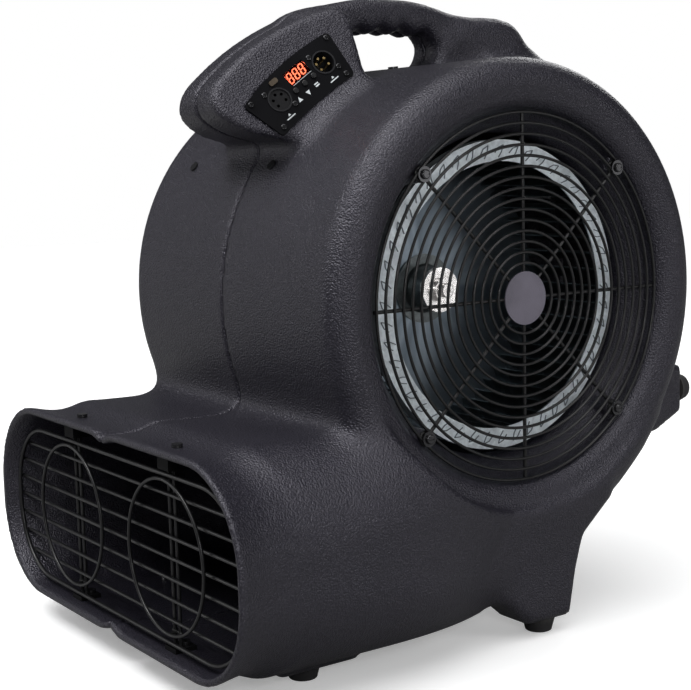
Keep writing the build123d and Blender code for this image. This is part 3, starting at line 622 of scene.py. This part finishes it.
def spun_disc():
    """Dark zinc-coated plate with the radial sheen of turned metal; its lighter and darker sectors round the
    axis are a painted reflection.
    """
    made, tree, shader = new_material("spun_disc")
    place_at = tree.nodes.new("ShaderNodeTexCoord").outputs["Object"]
    offset = tree.nodes.new("ShaderNodeVectorMath")
    offset.operation = "SUBTRACT"
    offset.inputs[1].default_value = AXIS
    tree.links.new(place_at, offset.inputs[0])
    split = tree.nodes.new("ShaderNodeSeparateXYZ")
    tree.links.new(offset.outputs[0], split.inputs[0])
    angle = tree.nodes.new("ShaderNodeMath")
    angle.operation = "ARCTAN2"
    tree.links.new(split.outputs["Z"], angle.inputs[0])
    tree.links.new(split.outputs["Y"], angle.inputs[1])
    radius = tree.nodes.new("ShaderNodeVectorMath")
    radius.operation = "LENGTH"
    tree.links.new(offset.outputs[0], radius.inputs[0])
    rings = tree.nodes.new("ShaderNodeTexNoise")
    rings.noise_dimensions = "1D"
    rings.inputs["Scale"].default_value = 900.0
    tree.links.new(radius.outputs["Value"], rings.inputs["W"])
    painted_sheen_fans = tree.nodes.new("ShaderNodeTexNoise")
    painted_sheen_fans.noise_dimensions = "1D"
    painted_sheen_fans.inputs["Scale"].default_value = 2.2
    tree.links.new(angle.outputs[0], painted_sheen_fans.inputs["W"])
    # painted reflection: the plate's colour runs lighter and darker in broad sectors round the axis to stand
    # for the sheen of the turned metal
    base = ramp(tree, painted_sheen_fans.outputs["Fac"], [(0.3, (0.14, 0.175, 0.21)), (0.7, (0.34, 0.40, 0.46))])
    tree.links.new(base, shader.inputs["Base Color"])
    tree.links.new(spread(tree, rings.outputs["Fac"], 0.30, 0.44), shader.inputs["Roughness"])
    bump(tree, shader, rings.outputs["Fac"], 0.00006, 0.6)
    shader.inputs["Metallic"].default_value = 0.9
    shader.inputs["Anisotropic"].default_value = 0.6
    tangent = tree.nodes.new("ShaderNodeTangent")
    tangent.direction_type = "RADIAL"
    tangent.axis = "X"
    tree.links.new(tangent.outputs[0], shader.inputs["Tangent"])
    return made


def dark_rubber():
    made, tree, shader = new_material("dark_rubber")
    base = ramp(tree, noise(tree, 60.0, 4.0), [(0.3, (0.010, 0.010, 0.011)), (0.7, (0.022, 0.021, 0.022))])
    tree.links.new(mix(tree, worn_edges(tree), base, (0.05, 0.048, 0.046)), shader.inputs["Base Color"])
    tree.links.new(spread(tree, noise(tree, 200.0), 0.6, 0.8), shader.inputs["Roughness"])
    bump(tree, shader, noise(tree, 500.0, 3.0), 0.0002, 0.6)
    return made


def red_window():
    """Smoked red filter over the display."""
    made, tree, shader = new_material("red_window")
    haze = noise(tree, 90.0, 2.0)
    tree.links.new(ramp(tree, haze, [(0.3, (0.80, 0.30, 0.25)), (0.7, (0.84, 0.34, 0.28))]),
                   shader.inputs["Base Color"])
    tree.links.new(spread(tree, haze, 0.05, 0.12), shader.inputs["Roughness"])
    bump(tree, shader, noise(tree, 300.0, 2.0), 0.00002, 0.3)
    shader.inputs["Transmission Weight"].default_value = 1.0
    shader.inputs["IOR"].default_value = 1.2
    return made


def lit_segment():
    made, tree, shader = new_material("lit_segment")
    glow = ramp(tree, noise(tree, 900.0, 2.0), [(0.3, (1.0, 0.36, 0.20)), (0.7, (1.0, 0.46, 0.28))])
    tree.links.new(glow, shader.inputs["Base Color"])
    tree.links.new(glow, shader.inputs["Emission Color"])
    shader.inputs["Emission Strength"].default_value = 3.4
    return made


def circuit_board():
    made, tree, shader = new_material("circuit_board")
    tracks = cells(tree, 300.0, "DISTANCE_TO_EDGE")
    base = ramp(tree, tracks.outputs["Distance"], [(0.0, (0.10, 0.32, 0.14)), (0.12, (0.02, 0.12, 0.05))])
    tree.links.new(base, shader.inputs["Base Color"])
    tree.links.new(spread(tree, noise(tree, 200.0), 0.25, 0.4), shader.inputs["Roughness"])
    bump(tree, shader, tracks.outputs["Distance"], 0.0001, 0.4)
    return made


def paint_all():
    """One material for each of the record's slots, given to every CAD node and returned by slot."""
    looks = {
        "housing": moulded_shell(),
        "guard_wire": coated("wire_coat", (0.007, 0.007, 0.0075), 0.30, 500.0, 0.00008, spec=0.35),
        "guard_plate": coated("plate_coat", (0.115, 0.105, 0.135), 0.5, 700.0, 0.0002),
        "black_fixing": coated("black_zinc", (0.05, 0.05, 0.053), 0.2, 900.0, 0.00003, 0.8),
        "zinc_fixing": metal("zinc", (0.62, 0.62, 0.63), 0.28),
        "galvanised": metal("galvanised", (0.80, 0.86, 0.91), 0.5, (160.0, 160.0, 160.0), 0.00015, 0.12),
        "wheel_steel": metal("wheel_steel", (0.19, 0.21, 0.215), 0.36, (40.0, 300.0, 300.0), 0.0001, 0.25),
        "bright_steel": metal("bright_steel", (0.82, 0.80, 0.79), 0.22),
        "motor_paint": coated("motor_paint", (0.03, 0.03, 0.034), 0.42, 500.0, 0.0002,
                              wear=(0.12, 0.12, 0.12)),
        "core_steel": metal("core_steel", (0.35, 0.35, 0.37), 0.45),
        "copper": metal("copper", (0.70, 0.34, 0.17), 0.35, (40.0, 900.0, 900.0), 0.0002),
        "rubber": dark_rubber(),
        "panel_black": coated("panel_black", (0.0045, 0.0045, 0.0055), 0.5, 1500.0, 0.00003, spec=0.05),
        "socket_metal": coated("socket_metal", (0.010, 0.010, 0.012), 0.36, 900.0, 0.00005, spec=0.3),
        "socket_plastic": coated("socket_plastic", (0.006, 0.006, 0.007), 0.4, 900.0, 0.00003, spec=0.2),
        "latch": metal("latch", (0.105, 0.085, 0.065), 0.4),
        "gold": metal("gold", (0.86, 0.62, 0.28), 0.2),
        "button": coated("button", (0.007, 0.007, 0.008), 0.35, 900.0, 0.00004, spec=0.35),
        "display_glass": red_window(),
        "display_body": coated("display_body", (0.012, 0.003, 0.003), 0.25),
        "digit_red": lit_segment(),
        "board": circuit_board(),
        "post": metal("post", (0.65, 0.52, 0.28), 0.3),
        "capacitor": metal("capacitor", (0.7, 0.7, 0.7), 0.25),
    }
    slot_of = {row["node"]: row["material_slot"] for row in frame["record"]["subparts"]}
    for name, obj in nodes.items():
        look = looks[slot_of[name]]
        if name == "wheel_disc":
            look = spun_disc()
        if name == "outlet_clips":
            look = coated("clip_coat", (0.004, 0.004, 0.0045), 0.6, spec=0.1)
        obj.data.materials.clear()
        obj.data.materials.append(look)
    return looks


# ------------------------------------------------------------------ studio
def camera():
    """The camera's place is in millimetres about the axis; its turn, tilt and roll are in degrees."""
    turn, tilt, roll = (math.radians(a) for a in CAMERA_TURNS)
    ahead = Vector((-math.sin(turn) * math.cos(tilt), math.cos(turn) * math.cos(tilt), -math.sin(tilt)))
    right = Vector((math.cos(turn), math.sin(turn), 0))
    up = right.cross(ahead)
    a = right * math.cos(roll) + up * math.sin(roll)
    b = up * math.cos(roll) - right * math.sin(roll)
    data = bpy.data.cameras.new("camera")
    data.sensor_width = 36.0
    data.lens = LENS
    data.clip_end = 50.0
    obj = bpy.data.objects.new("camera", data)
    rows = Matrix((a, b, -ahead)).transposed().to_4x4()
    obj.matrix_world = Matrix.Translation(Vector(place(CAMERA_AT))) @ rows
    scene.collection.objects.link(obj)
    scene.camera = obj


def area_light(name, at, target, size, power, colour=(1, 1, 1)):
    data = bpy.data.lights.new(name, "AREA")
    data.shape = "RECTANGLE"
    data.size, data.size_y = size
    data.energy = power
    data.color = colour
    obj = bpy.data.objects.new(name, data)
    obj.location = at
    obj.rotation_mode = "QUATERNION"
    obj.rotation_quaternion = (Vector(target) - Vector(at)).to_track_quat("-Z", "Y")
    scene.collection.objects.link(obj)
    return obj


def studio():
    """White floor and background, a large soft light above and weaker ones at the sides."""
    made, tree, shader = new_material("paper")
    light_path = tree.nodes.new("ShaderNodeLightPath")
    seen = light_path.outputs["Is Camera Ray"]
    pale = ramp(tree, noise(tree, 2.0), [(0.3, grey(0.90)), (0.7, grey(0.92))])
    tree.links.new(mix(tree, seen, grey(0.28), pale), shader.inputs["Base Color"])
    shader.inputs["Roughness"].default_value = 0.9
    shader.inputs["Specular IOR Level"].default_value = 0.1
    shader.inputs["Emission Color"].default_value = (1, 1, 1, 1)
    tree.links.new(spread(tree, seen, 0.0, 0.30), shader.inputs["Emission Strength"])
    far = FLOOR_HALF
    corners = [(-far, -far, 0), (far, -far, 0), (far, far, 0), (-far, far, 0)]
    floor = new_mesh("floor", corners, [(0, 1, 2, 3)])
    floor.location.z = -0.0005
    floor.data.materials.append(made)
    world = bpy.data.worlds.new("studio")
    world.use_nodes = True
    tree = world.node_tree
    seen = tree.nodes["Background"]
    seen.inputs["Color"].default_value = (1, 1, 1, 1)
    dim = tree.nodes.new("ShaderNodeBackground")
    dim.inputs["Color"].default_value = (0.96, 0.97, 1.0, 1)
    dim.inputs["Strength"].default_value = 0.10
    chosen = tree.nodes.new("ShaderNodeMixShader")
    tree.links.new(tree.nodes.new("ShaderNodeLightPath").outputs["Is Camera Ray"], chosen.inputs[0])
    tree.links.new(dim.outputs[0], chosen.inputs[1])
    tree.links.new(seen.outputs[0], chosen.inputs[2])
    tree.links.new(chosen.outputs[0], tree.nodes["World Output"].inputs["Surface"])
    scene.world = world
    sun = bpy.data.lights.new("top", "SUN")
    sun.energy = 2.5
    sun.angle = math.radians(70)
    top = bpy.data.objects.new("top", sun)
    top.rotation_euler = (math.radians(12), math.radians(8), 0)
    scene.collection.objects.link(top)
    middle = (0, 0, 0.3)
    area_light("key", (-0.2, -1.5, 2.1), middle, (0.7, 0.7), 23.5)
    area_light("right", (2.1, 0.7, 1.3), middle, (0.4, 0.8), 8)
    area_light("left", (-1.6, -1.5, 0.9), middle, (0.7, 1.4), 6)
    area_light("eye", (1.35, -0.72, 0.62), (0.0, 0.10, 0.27), (0.2, 0.2), 4.5)
    area_light("back", (-1.3, 2.1, 1.5), middle, (0.9, 0.9), 9)
    area_light("hub", (1.9, 1.48, 0.26), (0.04, 0.04, 0.30), (0.8, 0.5), 3.2)
    scene.view_settings.view_transform = "Standard"


camera()
studio()
looks = paint_all()
for side in (1, -1):
    half = build_shell(side)
    half.data.materials.append(looks["housing"])
    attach(half, "housing")

marks = print_and_painted_highlight()
# one light grey for the printed symbols and for the painted highlight bar under the display
marks.data.materials.append(coated("print_and_highlight_paint", (0.62, 0.66, 0.68), 0.5))
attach(marks, "housing")
for side in (1, -1):
    tabs = blade_tabs(side)
    # painted shade: the raised tab outlines are coloured dark to stand for the shade in the grooves of the
    # crimped blade ends
    tabs.data.materials.append(metal("tab_painted_shade", (0.16, 0.18, 0.20), 0.4))
    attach(tabs, "wheel")
